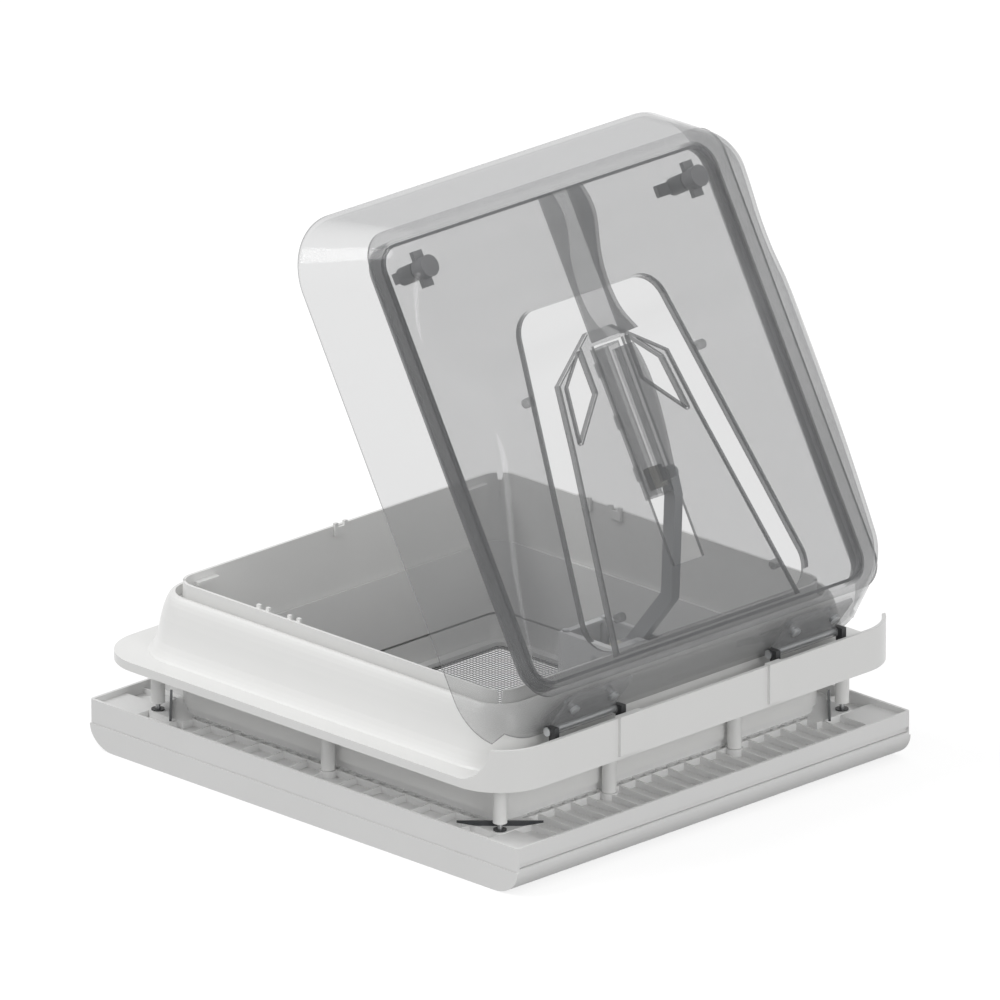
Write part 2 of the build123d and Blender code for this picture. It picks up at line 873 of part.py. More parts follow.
def hinge_bracket():
    y0, y1 = hinge_place - hinge_length / 2, hinge_place + hinge_length / 2
    top = flange_thick + bracket_base
    bracket = block(bracket_foot, bracket_x1, y0, y1, flange_thick, top)
    for shift in (-leaf_screw_y, leaf_screw_y):
        y = hinge_place + shift
        bracket -= rod(bracket_screw_x, y, 0, top + through, screw_radius)
    for start in (y0, y1 - ear_thick):
        bracket += block(bracket_x0, bracket_x1, start, start + ear_thick, flange_thick, axis_z)
        bracket += rod_y(axis_x, axis_z, start, start + ear_thick, knuckle_radius)
        bracket += block(axis_x, bracket_x1, start, start + ear_thick, axis_z, axis_z + knuckle_radius)
    return bracket - rod_y(axis_x, axis_z, y0 - through, y1 + through, hinge_pin_radius)


def hinge_pin():
    y0, y1 = hinge_place - hinge_length / 2, hinge_place + hinge_length / 2
    pin = rod_y(axis_x, axis_z, y0, y1, hinge_pin_radius)
    pin += rod_y(axis_x, axis_z, y0 - pin_overhang, y0, knuckle_radius - pin_overhang / 2)
    head = knuckle_radius - pin_overhang / 2
    return pin + rod_y(axis_x, axis_z, y1, y1 + pin_overhang, head)


def hinge_leaf():
    y0 = hinge_place - hinge_length / 2 + ear_thick + ear_gap
    y1 = hinge_place + hinge_length / 2 - ear_thick - ear_gap
    slant = leaf_thick * math.hypot(1, lid_slope)
    outline = shape([(wall_point(relief_top + through), relief_top + through),
                     (wall_point(relief_top + through) + slant, relief_top + through),
                     (wall_point(leaf_top) + slant, leaf_top), (wall_point(leaf_top), leaf_top)])
    leaf = prism_y(outline, y0, y1) + rod_y(axis_x, axis_z, y0, y1, knuckle_radius)
    leaf -= rod_y(axis_x, axis_z, y0 - through, y1 + through, hinge_pin_radius + pin_clear)
    for side in (-1, 1):
        leaf -= leaf_bolt(hinge_place + side * leaf_screw_y, screw_hole, through, through)
    return leaf


def leaf_screws():
    screws = []
    for y in leaf_bolt_places():
        slim = leaf_bolt(y, screw_radius, lid_wall + screw_head_high, leaf_thick)
        head = leaf_bolt(y, screw_head, -leaf_thick, leaf_thick + screw_head_high)
        nut = leaf_bolt(y, screw_head, lid_wall + screw_head_high, -lid_wall)
        screws.append(slim + head + nut)
    return group(screws)


def bracket_screws():
    top = flange_thick + bracket_base
    screws = []
    for y in leaf_bolt_places():
        screws.append(rod(bracket_screw_x, y, flange_thick - bracket_screw_length, top, screw_radius)
                      + rod(bracket_screw_x, y, top, top + screw_head_high, screw_head))
    return group(screws)


def latch_body():
    top = pane_low + pane_thick
    body = rod(latch_x, latch_y, top, top + latch_body_high, latch_body_radius)
    ear = block(latch_x - latch_body_radius - latch_ear, latch_x + latch_body_radius + latch_ear,
                latch_y - lever_half, latch_y + lever_half, top, top + latch_body_high / 3)
    body += ear
    return body - rod(latch_x, latch_y, top - through, top + latch_body_high / 2,
                      spindle_radius + spindle_clear)


def latch_lever():
    top = pane_low + pane_thick + latch_body_high / 2
    lever = rod(latch_x, latch_y, lever_low, top, spindle_radius)
    lever += rod(latch_x, latch_y, lever_low, pane_low - seal_gap, lever_hub)
    lever += block(latch_x - lever_half, latch_x + lever_half, latch_y - lever_reach, latch_y,
                   lever_low, lever_low + lever_thick)
    lever += block(latch_x - lever_grip / 2, latch_x + lever_grip / 2, latch_y - lever_reach / 2,
                   latch_y + lever_hub, lever_low - lever_thick, lever_low + lever_thick / 2)
    return lever


def shaft_x():
    return pivot_x + worm_pitch_radius + gear_module * gear_teeth / 2


def gear_housing():
    face = collar_half - collar_wall
    top = housing_top - housing_cover
    box = block(housing_start, face, -housing_half, housing_half, housing_low, top)
    box -= block(housing_start + housing_wall, face - housing_wall, -housing_half + housing_wall,
                 housing_half - housing_wall, housing_low + housing_wall, top + through)
    for side in (-1, 1):
        y = sorted((side * (housing_half - housing_wall / 2), side * (housing_half + ear_reach)))
        ear = block(face - housing_wall, face, *y, ear_low, ear_high)
        box += ear - rod_x(face - through, face + through, side * (housing_half + ear_reach / 2),
                           (ear_low + ear_high) / 2, post_bore)
    for x, y in cover_screw_places():
        box += rod(x, y, housing_low, top, cover_boss)
    for x, y in cover_screw_places():
        box -= rod(x, y, top - 2 * through, top + through, cover_screw_radius)
    box += rod(shaft_x(), 0, cup_top, housing_low + housing_wall, sleeve_radius)
    box -= rod(shaft_x(), 0, cup_top - through, housing_low + 2 * through, bush_radius)
    return box - rod_y(pivot_x, pivot_z, -housing_half - through, housing_half + through, pivot_radius)


def cover_screw_places():
    inset = housing_wall + cover_boss / 2
    xs = (housing_start + inset, collar_half - collar_wall - inset)
    return [(x, side * (housing_half - inset)) for x in xs for side in (-1, 1)]


def gear_cover():
    face = collar_half - collar_wall
    low = housing_top - housing_cover
    lid = block(housing_start, face, -housing_half, housing_half, low, housing_top)
    x0, x1, y0, y1 = cover_open
    lid -= block(x0, x1, y0, y1, low - through, housing_top + through)
    gap = arm_thick / 2 + arm_slot_gap
    lid -= block(x1 - through, arm_slot_end, arm_y - gap, arm_y + gap, low - through, housing_top + through)
    lid -= rod(shaft_x(), 0, low - through, housing_top + through, shaft_radius + pin_clear)
    for x, y in cover_screw_places():
        lid -= rod(x, y, low - through, housing_top + through, cover_screw_radius + spindle_clear)
    return lid


def cover_screws():
    screws = []
    for x, y in cover_screw_places():
        screws.append(rod(x, y, housing_top - 2 * through, housing_top, cover_screw_radius)
                      + rod(x, y, housing_top, housing_top + cover_screw_head_high, cover_screw_head))
    return group(screws)


def housing_screws():
    face = collar_half - collar_wall
    screws = []
    for side in (-1, 1):
        y = side * (housing_half + ear_reach / 2)
        z = (ear_low + ear_high) / 2
        inner = face - housing_wall
        screws.append(rod_x(inner, face + housing_screw_length, y, z, screw_radius)
                      + rod_x(inner - screw_head_high, inner, y, z, screw_head))
    return group(screws)


def shaft_bushes():
    rings = []
    for low in (cup_top, housing_low + 2 * through - bush_length):
        rings.append(rod(shaft_x(), 0, low, low + bush_length, bush_radius)
                     - rod(shaft_x(), 0, low - through, low + bush_length + through,
                           shaft_radius + pin_clear))
    return group(rings)


def pivot_pin():
    return rod_y(pivot_x, pivot_z, -housing_half, housing_half, pivot_radius)


def arm_outline():
    points = [(pivot_x, pivot_z), arm_bend_low, arm_bend_high, arm_tip_open]
    strip = None
    for (ax, az), (bx, bz) in zip(points, points[1:]):
        length = math.hypot(bx - ax, bz - az)
        turn = math.degrees(math.atan2(bz - az, bx - ax))
        run = Pos((ax + bx) / 2, (az + bz) / 2) * Rot(0, 0, turn) * Rectangle(length, arm_width)
        ends = Pos(bx, bz) * Circle(arm_width / 2) + Pos(ax, az) * Circle(arm_width / 2)
        strip = run + ends if strip is None else strip + run + ends
    return strip


def lift_arm():
    y0, y1 = arm_y - arm_thick / 2, arm_y + arm_thick / 2
    arm = prism_y(arm_outline(), y0, y1)
    arm += rod_y(pivot_x, pivot_z, gear_width / 2, y1, arm_hub)
    arm -= rod_y(pivot_x, pivot_z, 0, y1 + through, pivot_radius + pin_clear)
    tip_x, tip_z = arm_tip_open
    return arm - rod_y(tip_x, tip_z, y0 - through, y1 + through, tip_pin_radius)


def tip_pin():
    tip_x, tip_z = arm_tip_open
    outer = arm_y + arm_thick / 2
    pin = rod_y(tip_x, tip_z, carriage_low_y, outer, tip_pin_radius)
    return pin + rod_y(tip_x, tip_z, outer, outer + rail_wall, tip_pin_radius * 3 / 2)


def sector_gear():
    _, opened_at, shut_at, _, _ = lift_motion()
    pitch = 360 / gear_teeth
    swing = shut_at - opened_at
    first, last = -swing - sector_lead / 2, sector_lead / 2
    y0, y1 = -gear_width / 2, gear_width / 2
    fan = [(0, 0)]
    steps = gear_teeth // 2
    for n in range(steps + 1):
        angle = math.radians(first + (last - first) * n / steps)
        fan.append((gear_root * math.cos(angle), gear_root * math.sin(angle)))
    face = shape(fan) + Circle(arm_hub)
    count = int((last - first) / pitch)
    for n in range(-count, 1):
        angle = n * pitch
        if not first < angle < last:
            continue
        sink = gear_root - gear_module
        tooth = shape([(sink, -tooth_base / 2), (gear_root, -tooth_base / 2), (gear_tip, -tooth_tip / 2),
                       (gear_tip, tooth_tip / 2), (gear_root, tooth_base / 2), (sink, tooth_base / 2)])
        face += Rot(0, 0, angle) * tooth
    gear = prism_y(face, y0, y1)
    gear = Pos(pivot_x, 0, pivot_z) * gear
    return gear - rod_y(pivot_x, pivot_z, y0 - through, y1 + through, pivot_radius + pin_clear)


def worm():
    pitch = math.pi * gear_module
    height = worm_turns * pitch
    low = pivot_z - height / 2 - pitch / 2
    path = Helix(pitch, height, worm_core - thread_sink)
    depth = worm_tip - worm_core + thread_sink
    profile = shape([(0, -thread_base / 2), (depth, -thread_tip / 2),
                     (depth, thread_tip / 2), (0, thread_base / 2)])
    start = Plane(origin=path @ 0, x_dir=(1, 0, 0), z_dir=path % 0)
    thread = sweep(start * profile, path=path, is_frenet=True)
    core = Cylinder(worm_core, height + pitch)
    body = core + Pos(0, 0, -height / 2) * thread
    body -= Cylinder(shaft_radius, height + 4 * pitch)
    return Pos(shaft_x(), 0, low + height / 2) * body


def crank_shaft():
    return rod(shaft_x(), 0, knob_groove_top + cup_wall, housing_top, shaft_radius)


def crank_knob():
    x = shaft_x()
    knob = rod(x, 0, knob_low, knob_high, knob_radius)
    for n in range(knob_grips):
        angle = 2 * math.pi * n / knob_grips
        knob -= rod(x + knob_radius * math.cos(angle), knob_radius * math.sin(angle),
                    knob_low - through, knob_high + through, knob_grip_radius)
    knob -= block(x - knob_radius - through, x + knob_radius - knob_grip_radius, -knob_groove_half,
                  knob_groove_half, knob_low - through, knob_groove_top)
    knob -= rod(x, 0, knob_groove_top + cup_wall, knob_high + through, shaft_radius)
    return knob - rod_y(x + peg_place, peg_z, -peg_pin_half, peg_pin_half, peg_pin_radius)


def crank_peg():
    x = shaft_x()
    peg = block(x + peg_tip, x + peg_place, -peg_half, peg_half, peg_z - peg_half, peg_z + peg_half)
    peg += rod_y(x + peg_place, peg_z, -peg_half, peg_half, peg_half)
    hole = peg_pin_radius + pin_clear
    return peg - rod_y(x + peg_place, peg_z, -peg_half - through, peg_half + through, hole)


def peg_pin():
    return rod_y(shaft_x() + peg_place, peg_z, -peg_pin_half, peg_pin_half, peg_pin_radius)


def lid_turned(part):
    """Turns a piece that is drawn level about the arm tip into line with the open lid."""
    tip_x, tip_z = arm_tip_open
    return part.rotate(Axis((tip_x, 0, tip_z), (0, 1, 0)), open_angle)


def carriage():
    tip_x, tip_z = arm_tip_open
    body = block(tip_x - carriage_length / 2, tip_x + carriage_length / 2, carriage_low_y, carriage_high_y,
                 tip_z - carriage_high / 2, tip_z + carriage_high / 2)
    body -= rod_y(tip_x, tip_z, carriage_low_y - through, carriage_high_y + through,
                  tip_pin_radius + pin_clear)
    return lid_turned(body)


def build():
    save("outer_frame", outer_frame())
    save("screw_posts", screw_posts())
    save("rim_clips", rim_clips())
    save("latch_keepers", latch_keepers())
    save("inner_frame", inner_frame())
    save("trim_cover", trim_cover())
    save("screen_frame", screen_frame())
    save("fly_screen", fly_screen())
    save("screen_clips", screen_clips())
    save("clamp_screws", clamp_screws())
    save("clamp_washers", clamp_washers())
    save("corner_clamps", corner_clamps())
    save("dome_cover", opened(dome_cover()))
    save("inner_pane", opened(inner_pane()))
    save("pane_seal", opened(pane_seal()))
    save("spine_channel", opened(spine_channel()))
    save("lift_rail", opened(lift_rail()))
    save("lift_frame", opened(lift_frame()))
    save("pane_standoffs", opened(pane_standoffs()))
    save("leaf_screws", opened(leaf_screws()))
    save("bracket_screws", bracket_screws())
    for name, flip in (("right", False), ("left", True)):
        def sided(part):
            return mirror(part, Plane.XZ) if flip else part
        save(f"hinge_bracket_{name}", sided(hinge_bracket()))
        save(f"hinge_pin_{name}", sided(hinge_pin()))
        save(f"hinge_leaf_{name}", opened(sided(hinge_leaf())))
        save(f"latch_body_{name}", opened(sided(latch_body())))
        save(f"latch_lever_{name}", opened(sided(latch_lever())))
    save("gear_housing", gear_housing())
    save("gear_cover", gear_cover())
    save("cover_screws", cover_screws())
    save("housing_screws", housing_screws())
    save("shaft_bushes", shaft_bushes())
    save("pivot_pin", pivot_pin())
    save("lift_arm", lift_arm())
    save("tip_pin", tip_pin())
    save("sector_gear", sector_gear())
    save("worm", worm())
    save("crank_shaft", crank_shaft())
    save("crank_knob", crank_knob())
    save("crank_peg", crank_peg())
    save("peg_pin", peg_pin())
    save("carriage", carriage())
    length, opened_at, shut_at, ratio, _ = lift_motion()
    middle, travel = track_height()
    print(f"arm {length:.2f} mm, open at {opened_at:.3f}, shut at {shut_at:.3f}")
    print(f"arm turns {ratio:.5f} per lid degree, shaft at x {shaft_x():.2f}")
    print(f"tip track height {middle:.3f} mm, spread {travel:.3f} mm")


if __name__ == "__main__":
    build()
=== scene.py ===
import json
import math

import bpy
import numpy as np
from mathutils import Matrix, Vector


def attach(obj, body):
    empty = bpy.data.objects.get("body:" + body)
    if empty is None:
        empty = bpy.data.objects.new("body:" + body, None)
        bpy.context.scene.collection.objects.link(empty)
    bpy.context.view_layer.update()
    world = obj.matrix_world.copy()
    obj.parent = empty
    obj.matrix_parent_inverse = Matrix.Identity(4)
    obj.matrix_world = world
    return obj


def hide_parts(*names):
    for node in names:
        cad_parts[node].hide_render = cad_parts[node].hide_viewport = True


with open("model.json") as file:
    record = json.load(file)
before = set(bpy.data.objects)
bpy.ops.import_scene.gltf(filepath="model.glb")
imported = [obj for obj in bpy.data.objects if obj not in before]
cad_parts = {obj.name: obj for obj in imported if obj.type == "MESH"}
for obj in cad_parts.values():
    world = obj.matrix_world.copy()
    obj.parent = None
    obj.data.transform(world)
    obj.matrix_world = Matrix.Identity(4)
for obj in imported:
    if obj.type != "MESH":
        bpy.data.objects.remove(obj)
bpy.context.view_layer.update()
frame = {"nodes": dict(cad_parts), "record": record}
nodes = frame["nodes"]
print("frame loaded with", len(nodes), "nodes")

# the lid turns about this line along Y; it is worked out lying shut and then turned open
lidTurn = {"x": 0.2182, "z": 0.0375, "openAngle": math.radians(60.5)}
lidUp = (math.sin(lidTurn["openAngle"]), 0.0, math.cos(lidTurn["openAngle"]))


def openLid(points):
    # turns shut-lid points about the hinge line by the open angle
    c, s = math.cos(lidTurn["openAngle"]), math.sin(lidTurn["openAngle"])
    dx, dz = points[..., 0] - lidTurn["x"], points[..., 2] - lidTurn["z"]
    turnedX, turnedZ = lidTurn["x"] + dx * c + dz * s, lidTurn["z"] - dx * s + dz * c
    return np.stack([turnedX, points[..., 1], turnedZ], axis=-1)


def addPiece(name, mesh, slot, body, replaced):
    # a visible piece with its finish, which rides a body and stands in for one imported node
    mesh.update()
    piece = bpy.data.objects.new(name, mesh)
    bpy.context.scene.collection.objects.link(piece)
    piece.data.materials.append(finishes[slot])
    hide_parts(replaced)
    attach(piece, body)
    return piece


def domeMesh(name, grid, pole):
    # quads join neighbouring rings and columns, outward for rings that run anticlockwise seen from above and
    # climb; one fan of triangles closes the last ring at the pole
    rows, cols = grid.shape[:2]
    r, c = np.arange(rows - 1)[:, None], np.arange(cols)[None, :]
    nextCol = (c + 1) % cols
    quads = np.stack(np.broadcast_arrays(r * cols + c, r * cols + nextCol, (r + 1) * cols + nextCol,
                                         (r + 1) * cols + c), axis=-1).reshape(-1, 4)
    last = (rows - 1) * cols + c[0]
    fan = np.stack([last, (rows - 1) * cols + nextCol[0], np.full(cols, rows * cols)], axis=-1)
    mesh = bpy.data.meshes.new(name)
    points = np.concatenate([grid.reshape(-1, 3), pole[None, :]])
    mesh.from_pydata(points.tolist(), [], quads.tolist() + fan.tolist())
    mesh.polygons.foreach_set("use_smooth", np.full(len(quads) + cols, True))
    return mesh


def ringPoints(halfX, halfY, corner, straight, arc):
    # rounded rectangle, anticlockwise from +X: each quarter is the arc of a corner and then the side that
    # runs to the next corner
    quarters = []
    for k in range(4):
        a = np.linspace(k * math.pi / 2, (k + 1) * math.pi / 2, arc, endpoint=False)
        cx = (halfX - corner) * (1 if k in (0, 3) else -1)
        cy = (halfY - corner) * (1 if k in (0, 1) else -1)
        bend = np.stack([cx + corner * np.cos(a), cy + corner * np.sin(a)], axis=-1)
        turn = (k + 1) * math.pi / 2
        nx = (halfX - corner) * (1 if (k + 1) % 4 in (0, 3) else -1)
        ny = (halfY - corner) * (1 if (k + 1) % 4 in (0, 1) else -1)
        side = corner * np.array([math.cos(turn), math.sin(turn)])
        w = np.linspace(0, 1, straight, endpoint=False)[:, None]
        run = (np.array([cx, cy]) + side) * (1 - w) + (np.array([nx, ny]) + side) * w
        quarters.append(np.concatenate([bend, run]))
    return np.concatenate(quarters)


def newGroup(name, inputs, outputs):
    # an empty node group with its sockets; every material sets all of the inputs
    group = bpy.data.node_groups.new(name, "ShaderNodeTree")
    for label, kind in inputs:
        group.interface.new_socket(name=label, in_out="INPUT", socket_type=kind)
    for label, kind in outputs:
        group.interface.new_socket(name=label, in_out="OUTPUT", socket_type=kind)
    return group, group.nodes.new("NodeGroupInput"), group.nodes.new("NodeGroupOutput")


def mathNode(group, operation, first, second):
    # one Math node; each side is a socket or a number
    node = group.nodes.new("ShaderNodeMath")
    node.operation = operation
    for place, value in enumerate((first, second)):
        if isinstance(value, (int, float)):
            node.inputs[place].default_value = value
        else:
            group.links.new(value, node.inputs[place])
    return node.outputs[0]


def noiseNode(group, vector, scale, detail):
    # a Noise texture; the scale is a socket or a number
    node = group.nodes.new("ShaderNodeTexNoise")
    node.inputs["Detail"].default_value = detail
    group.links.new(vector, node.inputs["Vector"])
    if isinstance(scale, (int, float)):
        node.inputs["Scale"].default_value = scale
    else:
        group.links.new(scale, node.inputs["Scale"])
    return node.outputs["Fac"]


def spreadNode(group, value, low, high):
    # maps 0..1 to low..high
    node = group.nodes.new("ShaderNodeMapRange")
    node.inputs["To Min"].default_value = low
    node.inputs["To Max"].default_value = high
    group.links.new(value, node.inputs["Value"])
    return node.outputs["Result"]


skinSockets = [("Color", "NodeSocketColor"), ("Roughness", "NodeSocketFloat"),
               ("Normal", "NodeSocketVector")]
grainLook = {"fineDetail": 3, "slowScale": 14, "slowDetail": 5, "roughShares": (0.85, 1.15),
             "bumpDistance": 0.0002}


def mouldedGrainGroup():
    # spark-eroded grain of moulded plastic: fine noise bumps the surface and moves the roughness, slow noise
    # moves the colour a little
    look = grainLook
    group, come, go = newGroup("mouldedGrain", [
        ("Color", "NodeSocketColor"), ("Roughness", "NodeSocketFloat"), ("Grain Scale", "NodeSocketFloat"),
        ("Bump", "NodeSocketFloat"), ("Drift", "NodeSocketFloat")], skinSockets)
    link = group.links.new
    place = group.nodes.new("ShaderNodeTexCoord").outputs["Object"]
    fine = noiseNode(group, place, come.outputs["Grain Scale"], look["fineDetail"])
    slow = noiseNode(group, place, look["slowScale"], look["slowDetail"])
    shift = mathNode(group, "MULTIPLY", spreadNode(group, slow, -1, 1), come.outputs["Drift"])
    tint = group.nodes.new("ShaderNodeVectorMath")
    tint.operation = "SCALE"
    link(come.outputs["Color"], tint.inputs[0])
    link(mathNode(group, "ADD", shift, 1), tint.inputs["Scale"])
    link(tint.outputs[0], go.inputs["Color"])
    share = spreadNode(group, fine, *look["roughShares"])
    rough = mathNode(group, "MULTIPLY", come.outputs["Roughness"], share)
    link(rough, go.inputs["Roughness"])
    bump = group.nodes.new("ShaderNodeBump")
    bump.inputs["Distance"].default_value = look["bumpDistance"]
    link(come.outputs["Bump"], bump.inputs["Strength"])
    link(fine, bump.inputs["Height"])
    link(bump.outputs["Normal"], go.inputs["Normal"])
    return group


metalLook = {"lineStretch": (1, 1, 0.06), "lineDetail": 4, "bloomScale": 120, "bloomDetail": 2,
             "bloomColor": (0.85, 0.86, 0.88, 1), "roughShares": (0.75, 1.3), "bumpStrength": 0.15,
             "bumpDistance": 0.0001}


def drawnMetalGroup():
    # plated metal: noise stretched along Z for the draw lines, and a cloudy zinc bloom that pales the colour
    look = metalLook
    group, come, go = newGroup("drawnMetal", [
        ("Color", "NodeSocketColor"), ("Roughness", "NodeSocketFloat"), ("Line Scale", "NodeSocketFloat"),
        ("Bloom", "NodeSocketFloat")], skinSockets)
    link = group.links.new
    place = group.nodes.new("ShaderNodeTexCoord").outputs["Object"]
    stretch = group.nodes.new("ShaderNodeMapping")
    stretch.inputs["Scale"].default_value = look["lineStretch"]
    link(place, stretch.inputs["Vector"])
    lines = noiseNode(group, stretch.outputs["Vector"], come.outputs["Line Scale"], look["lineDetail"])
    cloud = noiseNode(group, place, look["bloomScale"], look["bloomDetail"])
    bloom = mathNode(group, "MULTIPLY", cloud, come.outputs["Bloom"])
    mix = group.nodes.new("ShaderNodeMix")
    mix.data_type = "RGBA"
    mix.inputs["B"].default_value = look["bloomColor"]
    link(bloom, mix.inputs["Factor"])
    link(come.outputs["Color"], mix.inputs["A"])
    link(mix.outputs["Result"], go.inputs["Color"])
    share = spreadNode(group, lines, *look["roughShares"])
    rough = mathNode(group, "MULTIPLY", come.outputs["Roughness"], share)
    link(rough, go.inputs["Roughness"])
    bump = group.nodes.new("ShaderNodeBump")
    bump.inputs["Strength"].default_value = look["bumpStrength"]
    bump.inputs["Distance"].default_value = look["bumpDistance"]
    link(lines, bump.inputs["Height"])
    link(bump.outputs["Normal"], go.inputs["Normal"])
    return group


# cosine between the surface and the sheet at which the mask begins, and the one at which it is full
edgeLook = {"begins": 0.75, "full": 0.35}


def sheetEdgeGroup():
    # mask of a sheet's cut sides: one where the surface stands at right angles to the sheet's own normal,
    # nought where it lies along the sheet
    group, come, go = newGroup("sheetEdge", [("Sheet Normal", "NodeSocketVector")],
                               [("Mask", "NodeSocketFloat")])
    link = group.links.new
    facing = group.nodes.new("ShaderNodeVectorMath")
    facing.operation = "DOT_PRODUCT"
    link(group.nodes.new("ShaderNodeTexCoord").outputs["Normal"], facing.inputs[0])
    link(come.outputs["Sheet Normal"], facing.inputs[1])
    along = mathNode(group, "ABSOLUTE", facing.outputs["Value"], 0)
    node = group.nodes.new("ShaderNodeMapRange")
    node.inputs["From Min"].default_value = edgeLook["begins"]
    node.inputs["From Max"].default_value = edgeLook["full"]
    link(along, node.inputs["Value"])
    link(node.outputs["Result"], go.inputs["Mask"])
    return group


mouldedGrain = mouldedGrainGroup()
drawnMetal = drawnMetalGroup()
sheetEdge = sheetEdgeGroup()


def groupedSkin(name, group, values):
    # a material whose Principled shader takes colour, roughness and normal from one shared group
    material = bpy.data.materials.new(name)
    material.use_nodes = True
    tree = material.node_tree
    skin = tree.nodes["Principled BSDF"]
    shared = tree.nodes.new("ShaderNodeGroup")
    shared.node_tree = group
    for label, value in values.items():
        shared.inputs[label].default_value = value
    tree.links.new(shared.outputs["Color"], skin.inputs["Base Color"])
    tree.links.new(shared.outputs["Roughness"], skin.inputs["Roughness"])
    tree.links.new(shared.outputs["Normal"], skin.inputs["Normal"])
    return material, skin


def plastic(name, color, roughness, grainScale, bump, drift, coat=0.0):
    material, skin = groupedSkin(name, mouldedGrain, {
        "Color": (*color, 1), "Roughness": roughness, "Grain Scale": grainScale, "Bump": bump,
        "Drift": drift})
    skin.inputs["Coat Weight"].default_value = coat
    return material


clearLook = {"grainScale": 60, "bump": 0.01, "drift": 0.04, "coat": 0.3, "facingBlend": 0.5}


def clearPlastic(name, color, roughness, thin, dense, power, cutSide):
    # see-through moulding: density climbs from thin to dense as the wall is seen edge on, and is never less
    # than cutSide on the cut sides of its sheet
    look = clearLook
    material = plastic(name, color, roughness, look["grainScale"], look["bump"], look["drift"], look["coat"])
    tree = material.node_tree
    facing = tree.nodes.new("ShaderNodeLayerWeight")
    facing.inputs["Blend"].default_value = look["facingBlend"]
    edgeOn = mathNode(tree, "POWER", facing.outputs["Facing"], power)
    sides = tree.nodes.new("ShaderNodeGroup")
    sides.node_tree = sheetEdge
    sides.inputs["Sheet Normal"].default_value = lidUp
    cut = mathNode(tree, "MULTIPLY", sides.outputs["Mask"], cutSide)
    density = mathNode(tree, "MAXIMUM", spreadNode(tree, edgeOn, thin, dense), cut)
    tree.links.new(density, tree.nodes["Principled BSDF"].inputs["Alpha"])
    return material


def metal(name, color, roughness, lineScale, bloom):
    material, skin = groupedSkin(name, drawnMetal, {
        "Color": (*color, 1), "Roughness": roughness, "Line Scale": lineScale, "Bloom": bloom})
    skin.inputs["Metallic"].default_value = 1
    return material


# plastic: name, colour, roughness, grain scale, bump, drift, coat
# clearPlastic: name, colour, roughness, density face on, density edge on, power of the climb, cut sides
# metal: name, colour, roughness, line scale, bloom
finishes = {
    "shell": plastic("whiteAbs", (0.80, 0.80, 0.79), 0.32, 700, 0.10, 0.015, 0.15),
    "tray": plastic("greyTray", (0.78, 0.78, 0.775), 0.45, 600, 0.16, 0.03),
    "clear_dome": clearPlastic("smokedAcrylic", (0.25, 0.254, 0.26), 0.06, 0.19, 0.88, 3.2, 0.0),
    "clear_liner": clearPlastic("linerAcrylic", (0.16, 0.163, 0.167), 0.12, 0.20, 0.80, 3.0, 0.75),
    "frosted": clearPlastic("frostedPlastic", (0.20, 0.205, 0.21), 0.25, 0.26, 0.85, 2.5, 0.50),
    "seal": plastic("foamSeal", (0.30, 0.305, 0.31), 0.8, 1400, 0.5, 0.12),
    "steel": metal("zincSteel", (0.55, 0.56, 0.57), 0.32, 260, 0.35),
    "dark_steel": metal("darkStrip", (0.09, 0.095, 0.10), 0.42, 200, 0.05),
    "black": plastic("blackNylon", (0.03, 0.031, 0.033), 0.42, 900, 0.2, 0.1),
    "gearbox": plastic("gearboxGrey", (0.66, 0.665, 0.67), 0.4, 800, 0.14, 0.04),
    "arm": plastic("armGrey", (0.34, 0.35, 0.36), 0.38, 900, 0.16, 0.05),
    "gear": plastic("acetal", (0.66, 0.64, 0.56), 0.3, 500, 0.05, 0.02),
    "net": plastic("netYarn", (0.055, 0.058, 0.06), 0.6, 2500, 0.3, 0.15),
}
clearLeaf = clearPlastic("clearLeaf", (0.42, 0.425, 0.43), 0.2, 0.18, 0.85, 2.5, 0.45)
latchGrey = plastic("latchGrey", (0.27, 0.273, 0.28), 0.38, 900, 0.2, 0.08)
# the moulded latches and hinge leaves look unlike the other nodes that share their slots
ownFinish = {"latch_body": latchGrey, "latch_lever": latchGrey, "hinge_leaf": clearLeaf}
slotOf = {part["node"]: part["material_slot"] for part in frame["record"]["subparts"]}
for nodeName, node in nodes.items():
    kind = nodeName.removesuffix("_left").removesuffix("_right")
    node.data.materials.clear()
    node.data.materials.append(ownFinish.get(kind, finishes[slotOf[nodeName]]))
print("materials on all nodes")

domeSize = {
    "centreX": -0.0017, "halfX": 0.225, "halfY": 0.2262, "corner": 0.054, "cornerShare": 0.55,
    "rimZ": 0.0146, "topZ": 0.1266, "shoulderZ": 0.093, "slopeX": 0.44, "slopeY": 0.40, "slopeTop": 0.90,
    "shoulderSoft": 0.0030, "reliefZ": 0.027, "reliefFrom": 0.191, "reliefHalf": 0.204, "wall": 0.003,
    "straight": 26, "arc": 44, "up": 76, "across": 54, "evenShare": 0.5,
    "crownX": [-0.272, -0.205, -0.180, -0.161, -0.140, -0.119, -0.096, -0.078, -0.062, -0.049, -0.030,
               -0.008, 0.045, 0.100, 0.165, 0.200, 0.270],
    "crownZ": [0.0600, 0.0920, 0.1040, 0.1073, 0.1010, 0.0943, 0.0928, 0.0960, 0.1050, 0.1120, 0.1165,
               0.1170, 0.1083, 0.0970, 0.0860, 0.0805, 0.0670],
    "softX": [-0.21, -0.15, 0.15, 0.20], "softZ": [0.0070, 0.0050, 0.0050, 0.0060],
}


